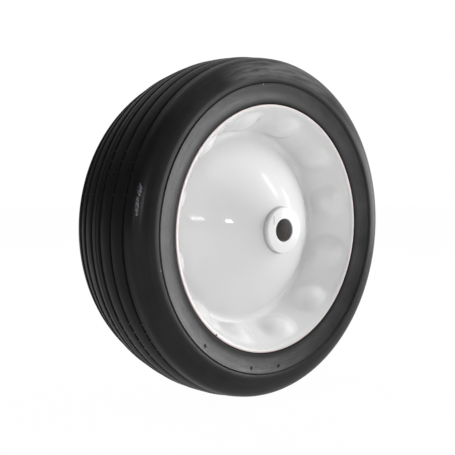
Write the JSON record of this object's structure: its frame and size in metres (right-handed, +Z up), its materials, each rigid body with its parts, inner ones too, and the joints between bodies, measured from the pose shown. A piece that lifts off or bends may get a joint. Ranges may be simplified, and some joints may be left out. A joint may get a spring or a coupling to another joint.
{
  "type": "steel disc wheel",
  "caption": "Pressed steel disc wheel with a ribbed rubber tyre and a plain through bore, for carrying a garden machine on an axle.",
  "frame": {"origin": "centre of the wheel, on the axle line and half way along the hub", "axes": "+Y along the axle, away from the front face; +Z up, the wheel standing on its tread"},
  "size_m": [0.2603, 0.0888, 0.2603],
  "materials": {
    "rubber": "matte moulded rubber",
    "white_paint": "gloss white paint",
    "hub_steel": "gloss white paint outside, dark bare steel bore"
  },
  "bodies": {
    "root": {"tyre": "rubber", "front_disc": "white_paint", "rear_disc": "white_paint", "hub_tube": "hub_steel"}
  },
  "joints": []
}
